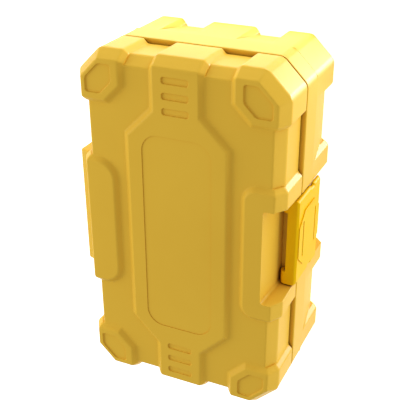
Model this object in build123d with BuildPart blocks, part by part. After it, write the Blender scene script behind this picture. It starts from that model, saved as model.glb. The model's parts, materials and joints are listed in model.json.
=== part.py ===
from build123d import *
from math import radians, sqrt, tan
import os

# Drill bit case, lid closed, lying on its base. Millimetres.
# X runs along the case, the hinge is on the +Y side, the latch on the -Y side, Z is up.
# The origin is the middle of the underside.

# Outside of the case
case_length = 185.0
case_width = 109.3
base_height = 46.3
lid_height = 27.2
parting_gap = 0.8
corner_cut = 12.1
wall = 2.6
relief = 2.4
shoulder_width = 4.2
shoulder_height = 6.7

# Base: rim band with a groove under it, drafted walls, foot chamfer, lip that centres the lid
rim_band_height = 14.5
rim_band_step = 0.25
rim_groove_height = 0.5
rim_groove_depth = 0.7
draft_top = 27.0
draft_inset = 4.0
foot_chamfer = 4.0
tub_chamfer = 2.5
lip_thickness = 1.2
lip_reach = 2.0
lip_clearance = 0.25

# Raised forms, by their outer faces, measured in from the ends and sides of the case
bumper_length = 24.3
bumper_width = 24.75
bumper_inner_cut = 8.2
neck_half_width = 11.8
neck_length = 26.2
panel_half_width = 26.0
side_pad_half_length = 34.6
side_pad_width = 19.15
hinge_pad_corner = 9.0
latch_pad_corner = 5.5

# Details of the lid's outer face
neck_slot_width = 3.3
neck_slot_length = 13.8
neck_slot_depth = 0.8
neck_slot_corner = 0.7
neck_slot_pitch = 7.6
neck_slot_count = 3
neck_slot_end_margin = 10.1
bumper_pocket_inner_margin = 3.0
bumper_pocket_side_margin = 4.05
bumper_pocket_end_margin = 6.5
bumper_pocket_inner_cut = 6.2
bumper_pocket_outer_cut = 7.6
bumper_pocket_corner = 0.8
bumper_pocket_depth = 0.9
label_end_margin = 11.8
label_side_margin = 7.5
label_corner = 9.0
label_depth = 0.35

# Finger pocket in the lid, behind the latch, and the finger scoop in the base, under it
pocket_half_length = 24.5
pocket_side_draft = 3.0
pocket_corner = 1.5
pocket_top_depth = 9.8
pocket_floor_depth = 7.8
pocket_floor_thickness = 2.1
pocket_side_wall = 4.0
scoop_depth = 8.2
scoop_overlap = 1.2

# Hinge
hinge_barrel_radius = 3.8
hinge_pin_radius = 1.2
hinge_half_length = 33.2
hinge_centre_knuckle = 12.0
hinge_base_knuckle = 13.4
hinge_running_gap = 0.35
hinge_cover_rise = 15.4
hinge_cover_flat = 3.4
hinge_cover_drop = 2.0
hinge_gusset_drop = 11.0
pin_clearance = 0.05
side_clearance = 0.3

# Latch
latch_side_gap = 0.6
latch_standoff = 1.55
latch_thickness = 2.2
latch_rise = 7.2
latch_height = 33.6
latch_edge_bevel = 1.0
latch_panel_height = 0.5
latch_panel_half_width = 15.6
latch_panel_tip_half_width = 8.5
latch_panel_margin = 1.4
latch_panel_cut = 8.0
latch_groove_length = 20.0
latch_groove_width = 1.0
latch_groove_depth = 0.9
latch_groove_offset = 9.2
latch_notch_depth = 1.2
latch_notch_height = 4.0
latch_notch_rise = 11.6
latch_foot_length = 7.2
latch_flange_back = 0.5
latch_flange_thickness = 2.0
latch_barrel_radius = 2.4
latch_pin_radius = 1.0
latch_pin_drop = 2.45
latch_pin_inset = 4.65
latch_pin_embed = 3.0
latch_hook_half_width = 14.0

# Catch on the base for the latch's hook
catch_recess = 2.4
catch_drop = 13.3
catch_depth = 0.75
catch_ramp_height = 3.0
catch_engagement = 0.6
catch_gap = 0.12
catch_hook_tip_height = 2.2
catch_hook_run_out = 2.6

# Rack cradle
cradle_floor = 1.2
cradle_cheek = 2.0
cradle_side_gap = 1.15
cradle_length = 36.0
cradle_end_gap = 0.6
cradle_cheek_margin = 2.9
trunnion_radius = 2.0

# Bit racks, from the lowest one up
rack_reach = 12.0
rack_wall = 1.5
rack_gap = 0.5
rack_stagger = 6.0
rack_end_room = 11.0
bore_floor = 1.2
bore_clearance = 0.05
bore_sides = 8
point_half_angle = 59.0

# Diameter: overall length of a jobber drill
drill_lengths = {
    1.0: 34,
    1.5: 40,
    2.0: 49,
    2.5: 57,
    3.0: 61,
    3.5: 70,
    4.0: 75,
    4.5: 80,
    5.0: 86,
    5.5: 93,
    6.0: 93,
    6.5: 101,
    7.0: 109,
    7.5: 109,
    8.0: 117,
    8.5: 117,
    9.0: 125,
    9.5: 125,
    10.0: 133,
    10.5: 133,
    11.0: 142,
    11.5: 142,
    12.0: 151,
    12.5: 151,
    13.0: 151,
}
rack_names = ("bit_rack_large", "bit_rack_medium", "bit_rack_small")
rack_smallest = (10.5, 6.5, 1.0)

# Levels and planes that follow
small = 0.01
outer_skin = 2 * rim_band_step
lid_bottom = base_height + parting_gap
lid_top = lid_bottom + lid_height
lid_deck = lid_top - relief
half_length = case_length / 2
half_width = case_width / 2
skin = relief + wall
rim_band_bottom = base_height - rim_band_height
floor_top = relief + wall
draft_wall = draft_inset + wall
far = case_length
bumper_start_x = half_length - bumper_length
bumper_start_y = half_width - bumper_width
neck_end_x = half_length - neck_length
panel_end_x = neck_end_x - (panel_half_width - neck_half_width)
side_pad_start_y = half_width - side_pad_width
housing_half = pocket_half_length + pocket_side_wall
housing_back = half_width - pocket_top_depth - wall
latch_top = lid_bottom + latch_rise
latch_bottom = latch_top - latch_height
catch_edge_z = base_height - catch_drop
scoop_top = latch_bottom + scoop_overlap

os.makedirs("parts", exist_ok=True)


def case_outline(inset, height):
    """Plan of the case, a rectangle with cut corners, drawn in by an even inset."""
    end_x = half_length - inset
    end_y = half_width - inset
    cut = corner_cut - inset * (2 - sqrt(2))
    with BuildSketch(Plane.XY.offset(height)) as outline:
        with BuildLine():
            Polyline(
                (end_x, end_y - cut),
                (end_x - cut, end_y),
                (cut - end_x, end_y),
                (-end_x, end_y - cut),
                (-end_x, cut - end_y),
                (cut - end_x, -end_y),
                (end_x - cut, -end_y),
                (end_x, cut - end_y),
                close=True,
            )
        make_face()
    return outline.sketch


def skin_depth(point):
    """How far inside the case's plan a point lies."""
    to_end = half_length - abs(point.X)
    to_side = half_width - abs(point.Y)
    to_corner = (to_end + to_side - corner_cut) / sqrt(2)
    return min(to_end, to_side, to_corner)


def flank_edges(form, seam):
    """Edges where a raised form's own walls meet the outer skin, except along the seam."""
    chosen = []
    for face in form.faces():
        if abs(face.normal_at().Z) > small or skin_depth(face.center()) < outer_skin:
            continue
        for edge in face.edges():
            middle = edge @ 0.5
            upright = abs((edge % 0.5).Z) > 1 - small
            buried = upright and skin_depth(middle) > outer_skin
            if abs(middle.Z - seam) > small and not buried:
                chosen.append(edge)
    return chosen


def shouldered_block(inset, low, high):
    """Straight walls under one sloped shoulder, the lid's outer form."""
    with BuildPart() as block:
        extrude(case_outline(inset, low), amount=high - shoulder_height - low)
        loft(
            [
                case_outline(inset, high - shoulder_height),
                case_outline(inset + shoulder_width, high),
            ],
            ruled=True,
        )
    return block.part


def footed_block():
    """The base's outer skin below its rim band, with a chamfered foot."""
    with BuildPart() as block:
        loft([case_outline(foot_chamfer, 0), case_outline(rim_band_step, foot_chamfer)], ruled=True)
        extrude(case_outline(rim_band_step, foot_chamfer), amount=rim_band_bottom - foot_chamfer)
    return block.part


def corner_zone():
    """Ground that the +X +Y corner bumper stands on, flanks included."""
    with BuildSketch() as zone:
        with BuildLine():
            Polyline(
                (bumper_start_x, far),
                (bumper_start_x, bumper_start_y + bumper_inner_cut),
                (bumper_start_x + bumper_inner_cut, bumper_start_y),
                (far, bumper_start_y),
                (far, far),
                close=True,
            )
        make_face()
        offset(amount=relief, kind=Kind.INTERSECTION)
    return zone.sketch


def panel_zone():
    """Ground of the centre panel and its two necks, flanks included."""
    with BuildSketch() as zone:
        with BuildLine():
            Polyline(
                (far, neck_half_width),
                (neck_end_x, neck_half_width),
                (panel_end_x, panel_half_width),
                (0, panel_half_width),
                (0, 0),
                (far, 0),
                close=True,
            )
        make_face()
        mirror(about=Plane.YZ)
        mirror(about=Plane.XZ)
        offset(amount=relief, kind=Kind.INTERSECTION)
    return zone.sketch


def side_pad_zone(side):
    """Ground of the pad over the +Y or -Y edge, flanks included."""
    with BuildSketch() as zone:
        with Locations((0, side * (side_pad_start_y + far / 2))):
            Rectangle(2 * side_pad_half_length, far)
        corners = zone.vertices().sort_by(Axis.Y)
        if side > 0:
            fillet(corners[:2], radius=hinge_pad_corner)
        else:
            fillet(corners[-2:], radius=latch_pad_corner)
        offset(amount=relief, kind=Kind.INTERSECTION)
    return zone.sketch


def raised_form(block, zone, seam):
    """One raised form: the block cut back to its zone, its walls sloped outwards."""
    with BuildPart() as form:
        add(block)
        extrude(zone, amount=far, mode=Mode.INTERSECT)
        chamfer(flank_edges(form.part, seam), length=relief)
    return form.part


def raised_forms(block, seam):
    """All raised forms of one half of the case."""
    with BuildPart() as forms:
        add(raised_form(block, corner_zone(), seam))
        mirror(about=Plane.YZ)
        mirror(about=Plane.XZ)
        add(raised_form(block, panel_zone(), seam))
        add(raised_form(block, side_pad_zone(1), seam))
        add(raised_form(block, side_pad_zone(-1), seam))
    return forms.part


# Hinge and latch axes
hinge_y = half_width + hinge_barrel_radius + hinge_running_gap
hinge_z = base_height + parting_gap / 2
latch_plate_back = half_width + latch_standoff - latch_thickness
latch_front = latch_plate_back + latch_thickness
latch_half_width = pocket_half_length - latch_side_gap
latch_foot_inner = latch_half_width - latch_foot_length
latch_pin_y = -(half_width - latch_pin_inset)
latch_pin_z = latch_top - latch_pin_drop
catch_y = half_width - catch_recess
base_knuckle_middle = (hinge_centre_knuckle + hinge_base_knuckle) / 2 + side_clearance
cover_root = half_width - wall / 2


def barrel(radius, start_x, length, axis_y, axis_z):
    """A round bar along X."""
    with BuildPart() as bar:
        with BuildSketch(Plane.YZ.offset(start_x)):
            with Locations((axis_y, axis_z)):
                Circle(radius)
        extrude(amount=length)
    return bar.part


def latch_side_block(half_length_x, back, low, high):
    """Everything on the latch side beyond a distance from the middle, between two heights."""
    with BuildPart() as block:
        with BuildSketch(Plane.XY.offset(low)):
            with Locations((0, -back - far / 2)):
                Rectangle(2 * half_length_x, far)
        extrude(amount=high - low)
    return block.part


# Base shell
with BuildPart() as base_cavity:
    loft([case_outline(draft_wall, floor_top), case_outline(skin, draft_top)], ruled=True)
    extrude(case_outline(skin, draft_top), amount=base_height - draft_top + far)

    # Wall behind the finger scoop
    with BuildSketch(Plane.YZ.offset(-housing_half)):
        with BuildLine():
            Polyline(
                (-far, 0),
                (scoop_depth + wall - half_width, 0),
                (catch_depth + wall - catch_y, scoop_top),
                (-far, scoop_top),
                close=True,
            )
        make_face()
    extrude(amount=2 * housing_half, mode=Mode.SUBTRACT)

with BuildPart() as rim_groove:
    with BuildSketch(Plane.XY.offset(rim_band_bottom - rim_groove_height)):
        Rectangle(case_length + wall, case_width + wall)
        add(case_outline(rim_groove_depth, 0), mode=Mode.SUBTRACT)
    extrude(amount=rim_groove_height)

with BuildPart() as base_shell:
    extrude(case_outline(0, rim_band_bottom), amount=rim_band_height)
    extrude(case_outline(rim_band_step, draft_top), amount=rim_band_bottom - draft_top)
    loft(
        [
            case_outline(rim_band_step, draft_top),
            case_outline(draft_inset, relief + tub_chamfer),
        ],
        ruled=True,
    )
    loft(
        [
            case_outline(draft_inset, relief + tub_chamfer),
            case_outline(draft_inset + tub_chamfer, relief),
        ],
        ruled=True,
    )
    add(raised_forms(footed_block(), rim_band_bottom))
    add(rim_groove.part, mode=Mode.SUBTRACT)

    # Lip inside the rim, open where the lid's finger pocket comes down
    extrude(case_outline(skin - lip_thickness, base_height), amount=parting_gap + lip_reach)
    add(
        latch_side_block(housing_half + lip_clearance, 0, base_height, lid_top),
        mode=Mode.SUBTRACT,
    )
    add(base_cavity.part, mode=Mode.SUBTRACT)

    # Recess for the latch, the edge that its hook catches under, and the finger scoop
    with BuildSketch(Plane.YZ.offset(-pocket_half_length)):
        with BuildLine():
            Polyline(
                (-far, base_height),
                (-catch_y, base_height),
                (-catch_y, catch_edge_z),
                (catch_depth - catch_y, catch_edge_z - catch_ramp_height),
                (catch_depth - catch_y, scoop_top),
                (scoop_depth - half_width, 0),
                (-far, 0),
                close=True,
            )
        make_face()
    extrude(amount=2 * pocket_half_length, mode=Mode.SUBTRACT)

    # Knuckles, each on a gusset from the rim band
    for side in (-1, 1):
        knuckle_start = side * base_knuckle_middle - hinge_base_knuckle / 2 + side_clearance
        with BuildSketch(Plane.YZ.offset(knuckle_start)):
            with BuildLine():
                Polyline(
                    (cover_root, base_height),
                    (hinge_y, base_height),
                    (hinge_y, hinge_z - hinge_barrel_radius),
                    (half_width, hinge_z - hinge_gusset_drop),
                    (cover_root, hinge_z - hinge_gusset_drop),
                    close=True,
                )
            make_face()
            with Locations((hinge_y, hinge_z)):
                Circle(hinge_barrel_radius)
        extrude(amount=hinge_base_knuckle - 2 * side_clearance)
    add(
        barrel(
            hinge_pin_radius + pin_clearance,
            -hinge_half_length,
            2 * hinge_half_length,
            hinge_y,
            hinge_z,
        ),
        mode=Mode.SUBTRACT,
    )
base_shell.part.label = "base_shell"
export_step(base_shell.part, "parts/base_shell.step")

# Lid shell
with BuildPart() as lid_cavity:
    add(shouldered_block(skin, lid_bottom - wall, lid_top - skin))
    lip_room = skin - lip_thickness - lip_clearance
    extrude(case_outline(lip_room, lid_bottom - wall), amount=wall + lip_reach + lip_clearance)
    add(
        latch_side_block(housing_half, housing_back, lid_bottom - wall, lid_top),
        mode=Mode.SUBTRACT,
    )

with BuildPart() as finger_pocket:
    with BuildSketch(Plane.YZ.offset(-far)):
        with BuildLine():
            Polyline(
                (-far, lid_bottom + pocket_floor_thickness),
                (pocket_floor_depth - half_width, lid_bottom + pocket_floor_thickness),
                (pocket_top_depth - half_width, lid_top),
                (-far, lid_top),
                close=True,
            )
        make_face()
    extrude(amount=2 * far)
    with BuildSketch(Plane.XY.offset(lid_bottom + pocket_floor_thickness)):
        Rectangle(2 * pocket_half_length, far)
    extrude(
        amount=lid_height - pocket_floor_thickness,
        taper=-pocket_side_draft,
        mode=Mode.INTERSECT,
    )
    upright_edges = finger_pocket.edges().filter_by(lambda edge: abs((edge % 0.5).Z) > small)
    fillet(upright_edges.sort_by(Axis.Y)[-2:], radius=pocket_corner)

with BuildPart() as lid_shell:
    add(shouldered_block(relief, lid_bottom, lid_deck))
    add(raised_forms(shouldered_block(0, lid_bottom, lid_top), lid_bottom))
    add(lid_cavity.part, mode=Mode.SUBTRACT)

    # Finger pocket, open outwards and upwards, and room for the latch in front of its floor
    add(finger_pocket.part, mode=Mode.SUBTRACT)
    add(
        latch_side_block(
            pocket_half_length, catch_y, lid_bottom, lid_bottom + pocket_floor_thickness
        ),
        mode=Mode.SUBTRACT,
    )

    # Slots across each neck
    with BuildSketch(Plane.XY.offset(lid_top - neck_slot_depth)) as neck_slots:
        for side in (-1, 1):
            for index in range(neck_slot_count):
                slot_x = half_length - neck_slot_end_margin - index * neck_slot_pitch
                with Locations((side * slot_x, 0)):
                    Rectangle(neck_slot_width, neck_slot_length)
        chamfer(neck_slots.vertices(), length=neck_slot_corner)
    extrude(amount=relief, mode=Mode.SUBTRACT)

    # Six-sided pocket in each corner bumper
    pocket_low_x = bumper_start_x + bumper_pocket_inner_margin
    pocket_low_y = bumper_start_y + bumper_pocket_side_margin
    pocket_high_x = half_length - bumper_pocket_end_margin
    pocket_high_y = half_width - bumper_pocket_end_margin
    with BuildSketch(Plane.XY.offset(lid_top - bumper_pocket_depth)) as bumper_pocket:
        with BuildLine():
            Polyline(
                (pocket_low_x, pocket_high_y),
                (pocket_low_x, pocket_low_y + bumper_pocket_inner_cut),
                (pocket_low_x + bumper_pocket_inner_cut, pocket_low_y),
                (pocket_high_x, pocket_low_y),
                (pocket_high_x, pocket_high_y - bumper_pocket_outer_cut),
                (pocket_high_x - bumper_pocket_outer_cut, pocket_high_y),
                close=True,
            )
        make_face()
        chamfer(bumper_pocket.vertices(), length=bumper_pocket_corner)
        mirror(about=Plane.YZ)
        mirror(about=Plane.XZ)
    extrude(amount=relief, mode=Mode.SUBTRACT)

    # Bare label area, a shallow step in the centre panel
    with BuildSketch(Plane.XY.offset(lid_top - label_depth)):
        RectangleRounded(
            2 * (neck_end_x - label_end_margin),
            2 * (panel_half_width - label_side_margin),
            label_corner,
        )
    extrude(amount=relief, mode=Mode.SUBTRACT)

    # Hinge cover over all knuckles, with the lid's own barrels under it
    with BuildSketch(Plane.YZ.offset(-hinge_half_length)):
        with BuildLine():
            Polyline(
                (cover_root, lid_bottom),
                (cover_root, hinge_z + hinge_cover_rise),
                (half_width + hinge_cover_flat, hinge_z + hinge_cover_rise),
                (hinge_y + hinge_barrel_radius, hinge_z + hinge_cover_rise - hinge_cover_drop),
                (hinge_y + hinge_barrel_radius, hinge_z),
                (hinge_y, hinge_z),
                (hinge_y, lid_bottom),
                close=True,
            )
        make_face()
        with Locations((hinge_y, hinge_z)):
            Circle(hinge_barrel_radius)
    extrude(amount=2 * hinge_half_length)
    for side in (-1, 1):
        gap_start = side * base_knuckle_middle - hinge_base_knuckle / 2
        with BuildSketch(Plane.YZ.offset(gap_start)):
            with Locations((half_width + far / 2, hinge_z)):
                Rectangle(far, 2 * (hinge_barrel_radius + hinge_running_gap))
        extrude(amount=hinge_base_knuckle, mode=Mode.SUBTRACT)
    add(
        barrel(
            hinge_pin_radius + pin_clearance,
            -hinge_half_length,
            2 * hinge_half_length,
            hinge_y,
            hinge_z,
        ),
        mode=Mode.SUBTRACT,
    )
    add(
        barrel(
            latch_pin_radius + pin_clearance,
            -pocket_half_length - latch_pin_embed,
            2 * (pocket_half_length + latch_pin_embed),
            latch_pin_y,
            latch_pin_z,
        ),
        mode=Mode.SUBTRACT,
    )
lid_shell.part.label = "lid_shell"
export_step(lid_shell.part, "parts/lid_shell.step")

# Hinge pin
with BuildPart() as hinge_pin:
    add(
        barrel(
            hinge_pin_radius,
            side_clearance - hinge_half_length,
            2 * (hinge_half_length - side_clearance),
            hinge_y,
            hinge_z,
        )
    )
hinge_pin.part.label = "hinge_pin"
export_step(hinge_pin.part, "parts/hinge_pin.step")

# Latch: plate, raised panel, top flange, feet on their pins, hook on the back
latch_middle_z = (latch_top + latch_bottom) / 2
with BuildPart() as latch:
    with BuildSketch(Plane.XZ.offset(latch_plate_back)):
        with Locations((0, latch_middle_z)):
            Rectangle(2 * latch_half_width, latch_height)
        with Locations(
            (-latch_half_width, latch_bottom + latch_notch_rise),
            (latch_half_width, latch_bottom + latch_notch_rise),
        ):
            Rectangle(2 * latch_notch_depth, latch_notch_height, mode=Mode.SUBTRACT)
    extrude(amount=latch_thickness)
    front = latch.faces().sort_by(Axis.Y)[0]
    chamfer(front.edges(), length=latch_edge_bevel)

    with BuildSketch(Plane.XZ.offset(latch_front)):
        panel_high = latch_top - latch_panel_margin
        panel_low = latch_bottom + latch_panel_margin
        with BuildLine():
            Polyline(
                (-latch_panel_tip_half_width, panel_high),
                (latch_panel_tip_half_width, panel_high),
                (latch_panel_half_width, panel_high - latch_panel_cut),
                (latch_panel_half_width, panel_low + latch_panel_cut),
                (latch_panel_tip_half_width, panel_low),
                (-latch_panel_tip_half_width, panel_low),
                (-latch_panel_half_width, panel_low + latch_panel_cut),
                (-latch_panel_half_width, panel_high - latch_panel_cut),
                close=True,
            )
        make_face()
    extrude(amount=latch_panel_height)
    with BuildSketch(Plane.XZ.offset(latch_front + latch_panel_height - latch_groove_depth)):
        for offset_z in (-latch_groove_offset, latch_groove_offset):
            with Locations((0, latch_middle_z + offset_z)):
                SlotOverall(latch_groove_length, latch_groove_width)
    extrude(amount=latch_groove_depth, mode=Mode.SUBTRACT)

    # Feet, each with a bore, and the flange that joins them
    for foot_start in (-latch_half_width, latch_foot_inner):
        with BuildSketch(Plane.YZ.offset(foot_start)):
            with BuildLine():
                Polyline(
                    (latch_pin_y, latch_top),
                    (-latch_plate_back, latch_top),
                    (-latch_plate_back, latch_pin_z - latch_barrel_radius / 2),
                    (latch_pin_y, latch_pin_z),
                    close=True,
                )
            make_face()
            with Locations((latch_pin_y, latch_pin_z)):
                Circle(latch_barrel_radius)
                Circle(latch_pin_radius + pin_clearance, mode=Mode.SUBTRACT)
        extrude(amount=latch_foot_length)
    flange_back = latch_flange_back - latch_pin_y
    with BuildSketch(Plane.XZ.offset(flange_back)):
        with Locations((0, latch_top - latch_flange_thickness / 2)):
            Rectangle(2 * latch_foot_inner, latch_flange_thickness)
    extrude(amount=latch_plate_back - flange_back)

    # Hook with a steep ramp on top, which slides out from under the catch
    hook_tip = catch_y - catch_engagement
    ramp_slope = catch_ramp_height / catch_depth
    hook_ramp_top = catch_y + catch_gap
    hook_tip_z = catch_edge_z - (hook_ramp_top - hook_tip) * ramp_slope
    with BuildSketch(Plane.YZ.offset(-latch_hook_half_width)):
        with BuildLine():
            Polyline(
                (-latch_plate_back, catch_edge_z + latch_plate_back - hook_ramp_top),
                (-hook_ramp_top, catch_edge_z),
                (-hook_tip, hook_tip_z),
                (-hook_tip, hook_tip_z - catch_hook_tip_height),
                (-latch_plate_back, hook_tip_z - catch_hook_tip_height - catch_hook_run_out),
                close=True,
            )
        make_face()
    extrude(amount=2 * latch_hook_half_width)
latch.part.label = "latch"
export_step(latch.part, "parts/latch.step")

# Latch pins: two short ones, each from a foot into the side wall of the finger pocket
with BuildPart() as latch_pin:
    pin_start = latch_foot_inner + side_clearance
    pin_end = pocket_half_length + latch_pin_embed - side_clearance
    for pin_low in (-pin_end, pin_start):
        add(barrel(latch_pin_radius, pin_low, pin_end - pin_start, latch_pin_y, latch_pin_z))
latch_pin.part.label = "latch_pin"
export_step(latch_pin.part, "parts/latch_pin.step")

# Racks: each row's bits, the bar's height and where its trunnions are
drill_diameters = sorted(drill_lengths, reverse=True)
rack_rows = []
for smallest in rack_smallest:
    taken = sum(len(row) for row in rack_rows)
    rack_rows.append([size for size in drill_diameters[taken:] if size >= smallest])
cradle_half_width = half_width - draft_wall - cradle_side_gap
rack_half_width = cradle_half_width - cradle_cheek - side_clearance
top_pivot_x = draft_wall + rack_end_room - half_length
rack_heights = [row[0] + 2 * rack_wall for row in rack_rows]
rack_pivots = []
for index, height in enumerate(rack_heights):
    low = floor_top + cradle_floor + side_clearance
    low += sum(rack_heights[:index]) + index * rack_gap
    steps_down = len(rack_heights) - 1 - index
    rack_pivots.append((top_pivot_x + steps_down * rack_stagger, low + height / 2))

# Cradle: a floor and two cheeks, sloped in front, with a hole for each trunnion
cradle_start = draft_wall + cradle_end_gap - half_length
top_pivot_z = rack_pivots[-1][1]
cheek_top = top_pivot_z + trunnion_radius + cradle_cheek_margin
with BuildPart() as rack_cradle:
    with BuildSketch(Plane.XZ.offset(-cradle_half_width)):
        with BuildLine():
            Polyline(
                (cradle_start, floor_top),
                (cradle_start + cradle_length, floor_top),
                (cradle_start + cradle_length, rack_pivots[0][1]),
                (top_pivot_x + trunnion_radius + cradle_cheek_margin, cheek_top),
                (cradle_start, cheek_top),
                close=True,
            )
        make_face()
        for pivot in rack_pivots:
            with Locations(pivot):
                Circle(trunnion_radius + pin_clearance, mode=Mode.SUBTRACT)
    extrude(amount=2 * cradle_half_width)
    extrude(case_outline(draft_wall + cradle_end_gap, 0), amount=far, mode=Mode.INTERSECT)
    with BuildSketch(Plane.XY.offset(floor_top + cradle_floor)):
        Rectangle(case_length, 2 * (cradle_half_width - cradle_cheek))
    extrude(amount=far, mode=Mode.SUBTRACT)
rack_cradle.part.label = "rack_cradle"
export_step(rack_cradle.part, "parts/rack_cradle.step")


def roofed_point(plane_x, across, up, radius, tip_x):
    """A bar along X whose end is ground to a ridge."""
    shoulder_x = tip_x - radius / tan(radians(point_half_angle))
    with BuildPart() as bar:
        with BuildSketch(Plane.XY.offset(up - radius)):
            with BuildLine():
                Polyline(
                    (plane_x, across - radius),
                    (shoulder_x, across - radius),
                    (tip_x, across),
                    (shoulder_x, across + radius),
                    (plane_x, across + radius),
                    close=True,
                )
            make_face()
        extrude(amount=2 * radius)
    return bar.part


for index, row in enumerate(rack_rows):
    pivot_x, pivot_z = rack_pivots[index]
    rack_height = rack_heights[index]
    bore_end_x = pivot_x + bore_floor - sqrt((rack_height**2 - row[0] ** 2) / 4)
    web = (2 * rack_half_width - sum(row)) / (len(row) + 1)
    bore_ys = []
    edge_y = rack_half_width
    for diameter in row:
        bore_ys.append(edge_y - web - diameter / 2)
        edge_y -= web + diameter

    # Bar with a round back, trunnions at its ends and a flat-sided bore for each shank
    with BuildPart() as bit_rack:
        with BuildSketch(Plane.XZ.offset(-rack_half_width)):
            with Locations((pivot_x, pivot_z)):
                Circle(rack_height / 2)
            with Locations((pivot_x + rack_reach / 2, pivot_z)):
                Rectangle(rack_reach, rack_height)
        extrude(amount=2 * rack_half_width)
        with BuildSketch(Plane.XZ.offset(-rack_half_width - cradle_cheek)):
            with Locations((pivot_x, pivot_z)):
                Circle(trunnion_radius)
        extrude(amount=2 * (rack_half_width + cradle_cheek))
        with BuildSketch(Plane.YZ.offset(bore_end_x)):
            for bore_y, diameter in zip(bore_ys, row):
                with Locations((bore_y, pivot_z)):
                    RegularPolygon(
                        diameter / 2 + bore_clearance,
                        bore_sides,
                        major_radius=False,
                        rotation=180 / bore_sides,
                    )
        extrude(amount=rack_reach + rack_height, mode=Mode.SUBTRACT)
    bit_rack.part.label = rack_names[index]
    export_step(bit_rack.part, f"parts/{rack_names[index]}.step")

    # The drills of this rack: shank in the bore, ground point towards +X
    for bore_y, diameter in zip(bore_ys, row):
        radius = diameter / 2
        tip_x = bore_end_x + drill_lengths[diameter]
        with BuildPart() as drill_bit:
            add(barrel(radius, bore_end_x, drill_lengths[diameter], bore_y, pivot_z))
            add(
                roofed_point(bore_end_x, bore_y, pivot_z, radius, tip_x),
                mode=Mode.INTERSECT,
            )
        whole, tenths = divmod(round(diameter * 10), 10)
        drill_name = f"drill_bit_{whole:02d}_{tenths}mm"
        drill_bit.part.label = drill_name
        export_step(drill_bit.part, f"parts/{drill_name}.step")
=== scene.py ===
import json
from math import cos, pi, radians, sin, tan

import bmesh
import bpy
from mathutils import Matrix, Vector


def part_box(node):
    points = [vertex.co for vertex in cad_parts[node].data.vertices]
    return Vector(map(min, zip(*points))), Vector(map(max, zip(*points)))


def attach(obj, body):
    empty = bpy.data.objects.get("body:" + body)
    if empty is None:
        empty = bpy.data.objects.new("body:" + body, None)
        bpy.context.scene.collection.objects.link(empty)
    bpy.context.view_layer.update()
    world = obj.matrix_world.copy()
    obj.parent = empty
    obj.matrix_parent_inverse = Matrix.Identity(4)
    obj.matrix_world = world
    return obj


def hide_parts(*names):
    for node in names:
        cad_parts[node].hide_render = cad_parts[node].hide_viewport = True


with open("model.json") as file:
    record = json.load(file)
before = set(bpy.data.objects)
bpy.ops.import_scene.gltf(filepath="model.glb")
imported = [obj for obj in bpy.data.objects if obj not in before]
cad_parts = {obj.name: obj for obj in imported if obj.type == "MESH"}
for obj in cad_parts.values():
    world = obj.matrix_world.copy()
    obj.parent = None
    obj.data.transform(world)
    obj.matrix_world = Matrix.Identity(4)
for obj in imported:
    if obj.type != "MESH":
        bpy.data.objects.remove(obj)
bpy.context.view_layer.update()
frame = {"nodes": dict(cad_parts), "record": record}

# Drill bit case, lid closed. Metres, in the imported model's frame:
# X along the case, hinge towards +Y, latch towards -Y, Z up through the lid.

MM = 0.001
WHITE = (1.0, 1.0, 1.0, 1)

# The photograph's camera: it looks down on the lid from the +X end and the latch side,
# and the picture's upright is the case's length.
PICTURE_SIDE = 416
FOCAL_PIXELS = 816.75
SENSOR_WIDTH = 36.0
CAMERA_PLACE = Vector((0.2025, -0.1612, 0.3904))
CAMERA_AIM = Vector((-0.0051, 0.0047, 0.0271))
CAMERA_UPRIGHT = Vector((1, 0, 0))
NEAREST_SEEN = 0.01
FARTHEST_SEEN = 20.0

# White world: how strongly it lights, and how bright the camera sees it behind the floor
SURROUNDINGS = 0.52
BACKDROP = 1.0

# Key lamp, from the hinge side
KEY_PLACE = (0.06, 0.58, 0.36)
KEY_AIM = (0, 0, 0.04)
KEY_SIZE = (0.5, 0.5)
KEY_WATTS = 1.95

# Long narrow lamp near the floor, in front of the latch side
SIDE_PLACE = (0.1, -0.75, 0.024)
SIDE_AIM = (0.1, 0, 0.024)
SIDE_SIZE = (0.8, 0.036)
SIDE_WATTS = 0.7

# Glowing panel on the floor beside the +X end
PANEL_REACH_X = (0.094, 0.174)
PANEL_REACH_Y = (-0.175, 0.125)
PANEL_HEIGHT = 0.003
PANEL_RADIANCE = 1.7

# Sheen on the facets that face both +X and -Y: a sun from below, by the direction that it comes
# from, its strength and the angle that it fills
SHEEN_SOURCE = (0.19, -0.49, -0.853)
SHEEN_STRENGTH = 5.0
SHEEN_WIDTH = radians(22)

# Pale paper floor that gives off light by itself
FLOOR_SIDE = 8.0
FLOOR_COLOUR = (0.93, 0.93, 0.92, 1)
FLOOR_ROUGHNESS = 0.9
FLOOR_GLOW = 0.9


def body_of(node_name):
    """The body that a CAD node moves with."""
    bodies = frame["record"]["behaviour"]["bodies"]
    return next(body for body, members in bodies.items() if node_name in members)


def add_object(name, data):
    made = bpy.data.objects.new(name, data)
    bpy.context.scene.collection.objects.link(made)
    return made


def turn(obj, rotation):
    obj.rotation_mode = "QUATERNION"
    obj.rotation_quaternion = rotation


# ---------------------------------------------------------------- camera, floor and light

def looking(place, aim, upright):
    """Rotation that looks from place to aim, with upright pointing up in the picture."""
    back = (place - aim).normalized()
    right = upright.cross(back).normalized()
    up = back.cross(right)
    return Matrix((right, up, back)).transposed().to_quaternion()


def add_camera():
    data = bpy.data.cameras.new("camera")
    data.sensor_width = SENSOR_WIDTH
    data.lens = FOCAL_PIXELS / PICTURE_SIDE * SENSOR_WIDTH
    data.clip_start = NEAREST_SEEN
    data.clip_end = FARTHEST_SEEN
    camera = add_object("camera", data)
    camera.location = CAMERA_PLACE
    turn(camera, looking(CAMERA_PLACE, CAMERA_AIM, CAMERA_UPRIGHT))
    bpy.context.scene.camera = camera


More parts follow.
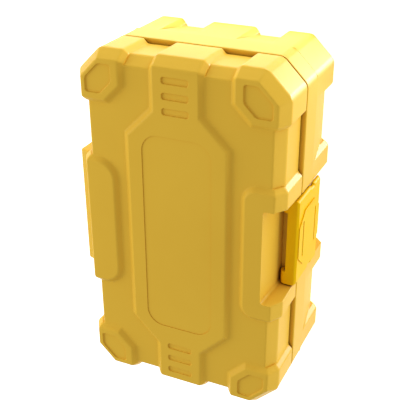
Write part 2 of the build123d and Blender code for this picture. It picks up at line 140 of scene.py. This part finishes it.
def add_light(name, place, aim, size, watts):
    """A rectangular lamp that looks from its place to its aim."""
    data = bpy.data.lights.new(name, "AREA")
    data.shape = "RECTANGLE"
    data.size, data.size_y = size
    data.energy = watts
    lamp = add_object(name, data)
    lamp.location = place
    turn(lamp, (Vector(aim) - Vector(place)).to_track_quat("-Z", "Y"))
    lamp.visible_camera = False


def add_panel(name, reach_x, reach_y, radiance):
    """A glowing panel that lies on the floor beside the case and faces up."""
    length = reach_x[1] - reach_x[0]
    width = reach_y[1] - reach_y[0]
    x, y = sum(reach_x) / 2, sum(reach_y) / 2
    add_light(name, (x, y, PANEL_HEIGHT), (x, y, 1), (length, width), radiance * pi * length * width)


def add_sheen(name, source, strength, width):
    """A sun that is seen in gloss only. The floor casts no shadow, so it can shine from below."""
    data = bpy.data.lights.new(name, "SUN")
    data.energy = strength
    data.angle = width
    data.cycles.use_multiple_importance_sampling = False
    lamp = add_object(name, data)
    turn(lamp, Vector(source).to_track_quat("Z", "Y"))
    lamp.visible_diffuse = False


def add_world():
    """White all round, as bright to the camera as the floor and dimmer as light."""
    world = bpy.data.worlds.new("studio")
    world.use_nodes = True
    tree = world.node_tree
    background = tree.nodes["Background"]
    background.inputs["Color"].default_value = WHITE
    rays = node(tree, "ShaderNodeLightPath")
    strength = spread(tree, rays.outputs["Is Camera Ray"], SURROUNDINGS, BACKDROP)
    tree.links.new(strength, background.inputs["Strength"])
    bpy.context.scene.world = world


def add_studio():
    """White surroundings, a key lamp at the hinge side, low light at two sides, and the sheen."""
    add_world()
    add_light("key_lamp", KEY_PLACE, KEY_AIM, KEY_SIZE, KEY_WATTS)
    add_light("side_lamp", SIDE_PLACE, SIDE_AIM, SIDE_SIZE, SIDE_WATTS)
    add_panel("end_panel", PANEL_REACH_X, PANEL_REACH_Y, PANEL_RADIANCE)
    add_sheen("sheen_lamp", SHEEN_SOURCE, SHEEN_STRENGTH, SHEEN_WIDTH)
    bpy.context.scene.view_settings.view_transform = "Standard"


def add_floor():
    bpy.ops.mesh.primitive_plane_add(size=FLOOR_SIDE)
    floor = bpy.context.object
    floor.name = "floor"
    paper, _, shader = new_material("pale_floor")
    shader.inputs["Base Color"].default_value = FLOOR_COLOUR
    shader.inputs["Roughness"].default_value = FLOOR_ROUGHNESS
    shader.inputs["Emission Color"].default_value = WHITE
    shader.inputs["Emission Strength"].default_value = FLOOR_GLOW
    floor.data.materials.append(paper)
    floor.visible_shadow = False


# ---------------------------------------------------------------- shader nodes

def node(tree, kind, **settings):
    """A new node, with settings by name for its own values or for its inputs."""
    made = tree.nodes.new(kind)
    for key, value in settings.items():
        if hasattr(made, key):
            setattr(made, key, value)
        else:
            made.inputs[key].default_value = value
    return made


def new_material(name):
    material = bpy.data.materials.new(name)
    material.use_nodes = True
    return material, material.node_tree, material.node_tree.nodes["Principled BSDF"]


def spread(tree, share, low, high):
    """A share from 0 to 1, spread between two numbers."""
    reach = node(tree, "ShaderNodeMapRange")
    reach.inputs["To Min"].default_value = low
    reach.inputs["To Max"].default_value = high
    tree.links.new(share, reach.inputs["Value"])
    return reach.outputs["Result"]


def two_tone(tree, share, dark, light, places):
    """A colour that goes from dark to light between two places of the share."""
    ramp = node(tree, "ShaderNodeValToRGB")
    for stop, place, tone in zip(ramp.color_ramp.elements, places, (dark, light)):
        stop.position = place
        stop.color = (*tone, 1)
    tree.links.new(share, ramp.inputs["Fac"])
    return ramp.outputs["Color"]


def noise(tree, place, size, detail, roughness):
    """Noise with features of about a size, and finer ones by detail and roughness."""
    texture = node(tree, "ShaderNodeTexNoise", Scale=1 / size, Detail=detail, Roughness=roughness)
    tree.links.new(place, texture.inputs["Vector"])
    return texture.outputs["Fac"]


def bumps(tree, height, strength, distance):
    bump = node(tree, "ShaderNodeBump", Strength=strength, Distance=distance)
    tree.links.new(height, bump.inputs["Height"])
    return bump.outputs["Normal"]


# ---------------------------------------------------------------- materials

# Painted shade of inner corners: how far it looks around and with how many rays, and what it
# multiplies the colour by at a share of open space: in narrow grooves, in pockets and in the open
CORNER_REACH = 3.8 * MM
CORNER_RAYS = 6
PAINTED_GROOVE_SHADE = (0.3, (0.36, 0.21, 0.1, 1))
PAINTED_POCKET_SHADE = (0.42, (0.92, 0.79, 0.62, 1))
OPEN_SHADE = (0.9, WHITE)

# The colour sockets of the mix node, by number
MIX_FACTOR = 0
MIX_FIRST = 6
MIX_SECOND = 7
MIX_RESULT = 2

# Moulded plastic: the detail and roughness of its two noises, where the flow clouds turn from
# dark to light, and how much the grain takes from and adds to the roughness
FLOW_CLOUDS = (3.0, 0.55)
GRAIN = (2.0, 0.6)
GRAIN_STRENGTH = 1.0
PLASTIC_CLOUD_PLACES = (0.3, 0.7)
PLASTIC_DULLING = (-0.05, 0.06)

# Ground steel: the same for its heat tint and its scratches, which are drawn out round the bar
HEAT_CLOUDS = (2.0, 0.5)
HEAT_CLOUD_SIZE = 1 / 60
SCRATCHES = (4.0, 0.7)
SCRATCH_SCALE = (1.0, 0.06, 0.06)
SCRATCH_STRENGTH = 0.5
SCRATCH_DEPTH = 0.02 * MM
STEEL_CLOUD_PLACES = (0.35, 0.65)
STEEL_DULLING = (-0.08, 0.12)


def with_painted_corner_shade(tree, colour):
    """The colour with painted shade: darker and warmer in pockets and inner corners, darkest in
    narrow grooves.
    """
    open_share = node(
        tree, "ShaderNodeAmbientOcclusion", samples=CORNER_RAYS, Distance=CORNER_REACH
    )
    shade = node(tree, "ShaderNodeValToRGB")
    stops = shade.color_ramp.elements
    stops[0].position, stops[0].color = PAINTED_GROOVE_SHADE
    stops[1].position, stops[1].color = OPEN_SHADE
    middle = stops.new(PAINTED_POCKET_SHADE[0])
    middle.color = PAINTED_POCKET_SHADE[1]
    product = node(tree, "ShaderNodeMix", data_type="RGBA", blend_type="MULTIPLY")
    product.inputs[MIX_FACTOR].default_value = 1.0
    tree.links.new(open_share.outputs["AO"], shade.inputs["Fac"])
    tree.links.new(colour, product.inputs[MIX_FIRST])
    tree.links.new(shade.outputs["Color"], product.inputs[MIX_SECOND])
    return product.outputs[MIX_RESULT]


def moulded_plastic(name, dark, light, roughness, gloss, grain_size, grain_height, cloud_size):
    """Plastic from a tool with a fine spark-eroded grain: faint flow clouds, grain, dull patches and
    painted shade in inner corners.
    """
    material, tree, shader = new_material(name)
    place = node(tree, "ShaderNodeTexCoord").outputs["Object"]
    clouds = noise(tree, place, cloud_size, *FLOW_CLOUDS)
    grain = noise(tree, place, grain_size, *GRAIN)
    colour = two_tone(tree, clouds, dark, light, PLASTIC_CLOUD_PLACES)
    dulled = spread(tree, grain, *(roughness + change for change in PLASTIC_DULLING))
    normal = bumps(tree, grain, GRAIN_STRENGTH, grain_height)
    shader.inputs["Specular IOR Level"].default_value = gloss
    # Painted shade: the base colour is darkened in inner corners, pockets and grooves
    tree.links.new(with_painted_corner_shade(tree, colour), shader.inputs["Base Color"])
    tree.links.new(dulled, shader.inputs["Roughness"])
    tree.links.new(normal, shader.inputs["Normal"])
    return material


def ground_steel(name, dark, light, roughness, scratch_size):
    """Ground steel with fine scratches round the bar and slight heat tint."""
    material, tree, shader = new_material(name)
    place = node(tree, "ShaderNodeTexCoord").outputs["Object"]
    stretch = node(tree, "ShaderNodeMapping")
    stretch.inputs["Scale"].default_value = SCRATCH_SCALE
    tree.links.new(place, stretch.inputs["Vector"])
    clouds = noise(tree, place, HEAT_CLOUD_SIZE, *HEAT_CLOUDS)
    scratches = noise(tree, stretch.outputs["Vector"], scratch_size, *SCRATCHES)
    colour = two_tone(tree, clouds, dark, light, STEEL_CLOUD_PLACES)
    dulled = spread(tree, scratches, *(roughness + change for change in STEEL_DULLING))
    normal = bumps(tree, scratches, SCRATCH_STRENGTH, SCRATCH_DEPTH)
    shader.inputs["Metallic"].default_value = 1.0
    tree.links.new(colour, shader.inputs["Base Color"])
    tree.links.new(dulled, shader.inputs["Roughness"])
    tree.links.new(normal, shader.inputs["Normal"])
    return material


def make_materials():
    return {
        "case_plastic": moulded_plastic(
            "case_plastic", dark=(0.85, 0.52, 0.051), light=(0.88, 0.55, 0.056),
            roughness=0.36, gloss=0.06,
            grain_size=0.25 * MM, grain_height=0.012 * MM, cloud_size=60 * MM
        ),
        "latch_plastic": moulded_plastic(
            "latch_plastic", dark=(0.95, 0.56, 0.005), light=(0.97, 0.58, 0.006),
            roughness=0.3, gloss=0.015,
            grain_size=0.4 * MM, grain_height=0.006 * MM, cloud_size=30 * MM
        ),
        "rack_plastic": moulded_plastic(
            "rack_plastic", dark=(0.014, 0.014, 0.015), light=(0.020, 0.020, 0.022),
            roughness=0.5, gloss=0.4,
            grain_size=0.25 * MM, grain_height=0.015 * MM, cloud_size=20 * MM
        ),
        "pin_steel": ground_steel(
            "pin_steel", dark=(0.48, 0.48, 0.50), light=(0.60, 0.60, 0.61),
            roughness=0.3, scratch_size=0.3 * MM
        ),
        "drill_steel": ground_steel(
            "drill_steel", dark=(0.40, 0.39, 0.38), light=(0.56, 0.55, 0.53),
            roughness=0.3, scratch_size=0.25 * MM
        ),
    }


def dress(obj, material):
    obj.data.materials.clear()
    obj.data.materials.append(material)


# ---------------------------------------------------------------- moulded pieces with soft edges

# Cleaning the CAD mesh before its edges are rounded
WELD_DISTANCE = 0.002 * MM
FLAT_ANGLE = radians(1.0)

# An edge that bends more than this is rounded. After that, a bend past the crease angle stays
# sharp in the shading.
SHARP_ANGLE = radians(20)
CREASE_ANGLE = radians(35)
ROUNDING_SEGMENTS = 3

# Two edges run on from each other where they meet at more than this angle, and a turn past the
# bend makes a curve of them
STRAIGHT_ANGLE = radians(150)
STRAIGHT_BEND = radians(1.5)

# Limits on a bevel's width: its share of the room beside it and of a curve's radius. Ends of an
# edge up to the margin don't count as across from it, and a bevel under the crisp width is left
# out. Without any limit a bevel may have any width.
ROOM_SHARE = 0.45
CURVE_SHARE = 0.8
SPAN_MARGIN = 0.001
CRISP_WIDTH = 0.24 * MM
ANY_WIDTH = 1.0

# Usual widths of the rounding
CASE_EDGE_WIDTH = 0.75 * MM
LATCH_EDGE_WIDTH = 0.4 * MM
RACK_EDGE_WIDTH = 0.3 * MM

# The case's upright corners lie beyond this sum of x and y
CASE_CORNER_WIDTH = 2.6 * MM
CASE_CORNER_REACH = 128.0 * MM
CASE_UPRIGHT_SHARE = 0.98

# The ends of the hinge cover lie past this x and y, and above this height
HINGE_END_WIDTH = 1.6 * MM
HINGE_END = Vector((33.1, 55.0)) * MM
HINGE_END_LOW = 47.0 * MM

# The latch's two ends lie past this x, in front of this y
LATCH_END_WIDTH = 1.1 * MM
LATCH_END_X = 23.0 * MM
LATCH_FRONT_Y = -53.0 * MM
LATCH_UPRIGHT_SHARE = 0.9

# The widest of them all. An edge's weight is its bevel's share of this.
WIDEST = CASE_CORNER_WIDTH


def is_sharp(edge):
    return edge.calc_face_angle(0) > SHARP_ANGLE


def beside_loops(loop):
    """The edges before and after this one round its face, each with the corner they share."""
    before = loop.link_loop_prev.edge
    after = loop.link_loop_next.edge
    return ((before, loop.vert), (after, loop.link_loop_next.vert))


def corner_angle(edge, beside, corner):
    out = edge.other_vert(corner).co - corner.co
    side = beside.other_vert(corner).co - corner.co
    return out.angle(side)


def room_at_ends(loop):
    """The widest bevel before this edge's offset uses up the edges at its ends."""
    room = ANY_WIDTH
    for beside, corner in beside_loops(loop):
        turn = corner_angle(loop.edge, beside, corner)
        if turn < STRAIGHT_ANGLE:
            share = tan(turn / 2) if is_sharp(beside) else sin(turn)
            room = min(room, ROOM_SHARE * beside.calc_length() * share)
        elif pi - turn > STRAIGHT_BEND and loop.is_convex:
            room = min(room, CURVE_SHARE * loop.edge.calc_length() / (pi - turn))
    return room


def limit_across(face, rooms):
    """Bevels on opposite sides of a narrow face leave some of it between them."""
    for loop in face.loops:
        start = loop.vert.co
        run = loop.link_loop_next.vert.co - start
        inwards = face.normal.cross(run).normalized()
        for other in face.loops:
            along = (other.vert.co - start).dot(run) / run.length_squared
            depth = (other.vert.co - start).dot(inwards)
            if SPAN_MARGIN < along < 1 - SPAN_MARGIN and depth > 0:
                for edge in (loop.edge, other.edge, other.link_loop_prev.edge):
                    apart = edge is loop.edge or not set(edge.verts) & set(loop.edge.verts)
                    if apart and edge in rooms:
                        rooms[edge] = min(rooms[edge], ROOM_SHARE * depth)


def even_out(rooms):
    """Edges that run on from each other get the same width, the smallest among them."""
    waiting = list(rooms)
    while waiting:
        edge = waiting.pop()
        for loop in edge.link_loops:
            for beside, corner in beside_loops(loop):
                if beside in rooms and rooms[beside] > rooms[edge]:
                    if corner_angle(edge, beside, corner) > STRAIGHT_ANGLE:
                        rooms[beside] = rooms[edge]
                        waiting.append(beside)


def is_upright(edge, share):
    """Whether the edge's height is more than a share of its length."""
    low, high = (vert.co for vert in edge.verts)
    return abs(high.z - low.z) > share * edge.calc_length()


def middle_of(edge):
    low, high = (vert.co for vert in edge.verts)
    return (low + high) / 2


def on_latch(edge, usual):
    """Rounder along the outer edges of the latch's two ends."""
    middle = middle_of(edge)
    if abs(middle.x) > LATCH_END_X and middle.y < LATCH_FRONT_Y and edge.is_convex:
        if is_upright(edge, LATCH_UPRIGHT_SHARE):
            return LATCH_END_WIDTH
    return usual


def on_case(edge, usual):
    """Rounder on the case's upright corners and on the ends of the hinge cover."""
    middle = middle_of(edge)
    reach = abs(middle.x) + abs(middle.y)
    if is_upright(edge, CASE_UPRIGHT_SHARE) and edge.is_convex and reach > CASE_CORNER_REACH:
        return CASE_CORNER_WIDTH
    if abs(middle.x) > HINGE_END.x and HINGE_END.y < middle.y and edge.is_convex:
        if reach < CASE_CORNER_REACH and middle.z > HINGE_END_LOW:
            return HINGE_END_WIDTH
    return usual


def everywhere(edge, usual):
    """The usual width on every edge."""
    return usual


def bevel_widths(work, usual, wanted_width):
    """How wide each sharp edge's bevel is. Narrow steps and grooves stay crisp."""
    rooms = {}
    for edge in work.edges:
        if is_sharp(edge):
            room = min(room_at_ends(loop) for loop in edge.link_loops)
            rooms[edge] = min(wanted_width(edge, usual), room)
    for face in work.faces:
        limit_across(face, rooms)
    even_out(rooms)
    return {edge: room for edge, room in rooms.items() if room > CRISP_WIDTH}


def make_bevels(piece):
    """Round the weighted edges, and mark every crease that is left as sharp."""
    bevel = piece.modifiers.new("soft_edges", "BEVEL")
    bevel.width = WIDEST
    bevel.segments = ROUNDING_SEGMENTS
    bevel.limit_method = "WEIGHT"
    bevel.use_clamp_overlap = False
    graph = bpy.context.evaluated_depsgraph_get()
    rounded = bpy.data.meshes.new_from_object(piece.evaluated_get(graph))
    piece.modifiers.clear()
    piece.data = rounded
    work = bmesh.new()
    work.from_mesh(rounded)
    for edge in work.edges:
        edge.smooth = edge.smooth and edge.calc_face_angle(0) < CREASE_ANGLE
    for face in work.faces:
        face.smooth = True
    work.to_mesh(rounded)
    work.free()


def softened(node_name, edge_width, wanted_width, material):
    """A copy of a CAD node with its sharp edges rounded, which stands for that node."""
    mesh = frame["nodes"][node_name].data.copy()
    work = bmesh.new()
    work.from_mesh(mesh)
    bmesh.ops.remove_doubles(work, verts=work.verts, dist=WELD_DISTANCE)
    bmesh.ops.dissolve_limit(work, angle_limit=FLAT_ANGLE, verts=work.verts, edges=work.edges)
    weights = work.edges.layers.float.new("bevel_weight_edge")
    widths = bevel_widths(work, edge_width, wanted_width)
    for edge in work.edges:
        edge[weights] = widths.get(edge, 0.0) / WIDEST
        edge.smooth = edge in widths or not is_sharp(edge)
    work.to_mesh(mesh)
    work.free()
    piece = add_object(node_name + "_moulding", mesh)
    make_bevels(piece)
    shading = piece.modifiers.new("flat_faces", "WEIGHTED_NORMAL")
    shading.mode = "FACE_AREA"
    shading.keep_sharp = True
    dress(piece, material)
    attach(piece, body_of(node_name))
    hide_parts(node_name)


# ---------------------------------------------------------------- twist drills

# A drill's helix and section: the lands' share of a half turn, the flutes' depth as a share of
# the radius and the power that makes their floor squarer than a sine
HELIX_ANGLE = radians(28)
LAND_SHARE = 0.42
FLUTE_DEPTH = 0.66
FLUTE_POWER = 0.75

# Along the drill: the point's half angle, then lengths as shares of the radius
POINT_HALF_ANGLE = radians(59)
POINT_SHARES = (1.0, 0.66, 0.33)
SHANK_CHAMFER = 0.16
FLUTE_FADE = 2.5

# The mesh: sections in each turn of the helix, points round each section
SECTIONS_PER_TURN = 16
SECTION_POINTS = 40
TIP_WELD_DISTANCE = 0.001 * MM

# Standard flute lengths of jobber drills by diameter, both in millimetres
FLUTE_LENGTHS_MM = {
    1.0: 12, 1.5: 18, 2.0: 24, 2.5: 30, 3.0: 33, 3.5: 39, 4.0: 43, 4.5: 47, 5.0: 52,
    5.5: 57, 6.0: 57, 6.5: 63, 7.0: 69, 7.5: 69, 8.0: 75, 8.5: 75, 9.0: 81, 9.5: 81,
    10.0: 87, 10.5: 87, 11.0: 94, 11.5: 94, 12.0: 101, 12.5: 101, 13.0: 101,
}


def flute_radius(turn):
    """The fluted section as a share of the drill's radius, at a share of a half turn."""
    share = turn % 1.0
    if share < LAND_SHARE:
        return 1.0
    across = (share - LAND_SHARE) / (1 - LAND_SHARE)
    return 1.0 - FLUTE_DEPTH * sin(pi * across) ** FLUTE_POWER


def drill_sections(shank_end, tip, run_out, radius, pitch):
    """Places along the drill that get a section: shank, where the flutes run out, flutes, point."""
    places = [shank_end, shank_end, shank_end + SHANK_CHAMFER * radius, run_out]
    count = int((tip - run_out) / (pitch / SECTIONS_PER_TURN))
    places += [run_out + (tip - run_out) * index / count for index in range(1, count)]
    places += [tip - radius / tan(POINT_HALF_ANGLE) * share for share in POINT_SHARES]
    return sorted(places)


def widest_at(index, x, tip, radius):
    """The section's largest radius: closed shank end, its chamfer, then bar and point cone."""
    if index == 0:
        return 0.0
    if index == 1:
        return radius - SHANK_CHAMFER * radius
    return min(radius, (tip - x) * tan(POINT_HALF_ANGLE))


def join_rings(work, before, after):
    for corner in range(SECTION_POINTS):
        beside = (corner + 1) % SECTION_POINTS
        work.faces.new((before[corner], before[beside], after[beside], after[corner]))


def fluted_mesh(name, low, high, radius, flute_length):
    """A right-handed twist drill along X, its point at the high end of its box."""
    axis_y = (low[1] + high[1]) / 2
    axis_z = (low[2] + high[2]) / 2
    tip = high[0]
    run_out = tip - flute_length - radius
    pitch = 2 * pi * radius / tan(HELIX_ANGLE)
    work = bmesh.new()
    previous = None
    for index, x in enumerate(drill_sections(low[0], tip, run_out, radius, pitch)):
        limit = widest_at(index, x, tip, radius)
        fade = min(1.0, max(0.0, (x - run_out) / (FLUTE_FADE * radius)))
        ring = []
        for corner in range(SECTION_POINTS):
            angle = 2 * pi * corner / SECTION_POINTS
            twisted = angle - 2 * pi * (x - run_out) / pitch
            section = 1 - (1 - flute_radius(twisted / pi)) * fade
            out = min(radius * section, limit)
            ring.append(work.verts.new((x, axis_y + out * cos(angle), axis_z + out * sin(angle))))
        if previous:
            join_rings(work, previous, ring)
        previous = ring
    point = work.verts.new((tip, axis_y, axis_z))
    for corner in range(SECTION_POINTS):
        work.faces.new((previous[corner], previous[(corner + 1) % SECTION_POINTS], point))
    bmesh.ops.remove_doubles(work, verts=work.verts, dist=TIP_WELD_DISTANCE)
    bmesh.ops.recalc_face_normals(work, faces=work.faces)
    for face in work.faces:
        face.smooth = True
    mesh = bpy.data.meshes.new(name)
    work.to_mesh(mesh)
    work.free()
    mesh.set_sharp_from_angle(angle=CREASE_ANGLE)
    return mesh


def twist_drill(node_name, radius, flute_length, body, material):
    """The fluted drill that stands for a plain CAD drill."""
    low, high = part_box(node_name)
    mesh = fluted_mesh(node_name + "_fluted", low, high, radius, flute_length)
    piece = add_object(node_name + "_fluted", mesh)
    dress(piece, material)
    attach(piece, body)
    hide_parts(node_name)


# ---------------------------------------------------------------- the object

def main():
    add_camera()
    add_studio()
    add_floor()
    materials = make_materials()
    for name in ("base_shell", "lid_shell"):
        softened(name, CASE_EDGE_WIDTH, on_case, materials["case_plastic"])
    softened("latch", LATCH_EDGE_WIDTH, on_latch, materials["latch_plastic"])
    for name in ("rack_cradle", "bit_rack_large", "bit_rack_medium", "bit_rack_small"):
        softened(name, RACK_EDGE_WIDTH, everywhere, materials["rack_plastic"])
    for name in ("hinge_pin", "latch_pin"):
        dress(frame["nodes"][name], materials["pin_steel"])
    for diameter_mm, flute_length_mm in FLUTE_LENGTHS_MM.items():
        name = f"drill_bit_{diameter_mm:04.1f}mm".replace(".", "_")
        radius, flute_length = diameter_mm * MM / 2, flute_length_mm * MM
        twist_drill(name, radius, flute_length, body_of(name), materials["drill_steel"])


main()
